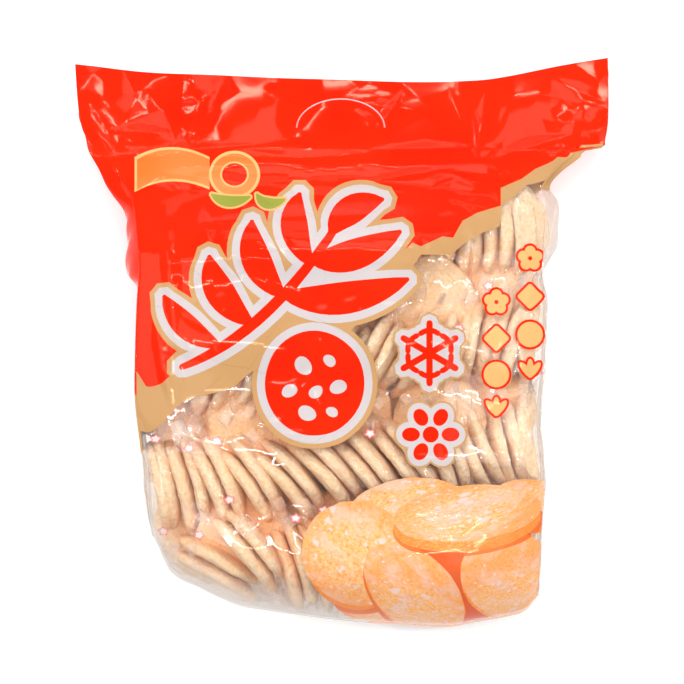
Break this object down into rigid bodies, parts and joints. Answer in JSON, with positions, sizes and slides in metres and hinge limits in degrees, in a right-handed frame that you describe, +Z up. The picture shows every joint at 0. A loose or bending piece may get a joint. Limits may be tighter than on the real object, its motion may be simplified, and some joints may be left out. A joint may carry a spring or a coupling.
{
  "type": "bag of rice crackers",
  "caption": "Large see-through gusseted bag of wrapped puffed rice crackers, with a flat printed header and a die-cut carrying handle.",
  "frame": {"origin": "on the floor, under the middle of the bag as it lies on its back", "axes": "+X across the bag to the right of its front, +Y from its bottom seal to its header, +Z up, out of its printed front"},
  "size_m": [0.4308, 0.4612, 0.1202],
  "materials": {
    "bag_film": "gloss",
    "bag_print": "gloss",
    "wrapper_film": "gloss",
    "cracker": "matte"
  },
  "bodies": {
    "root": {"bag": "bag_film"}
  },
  "joints": []
}
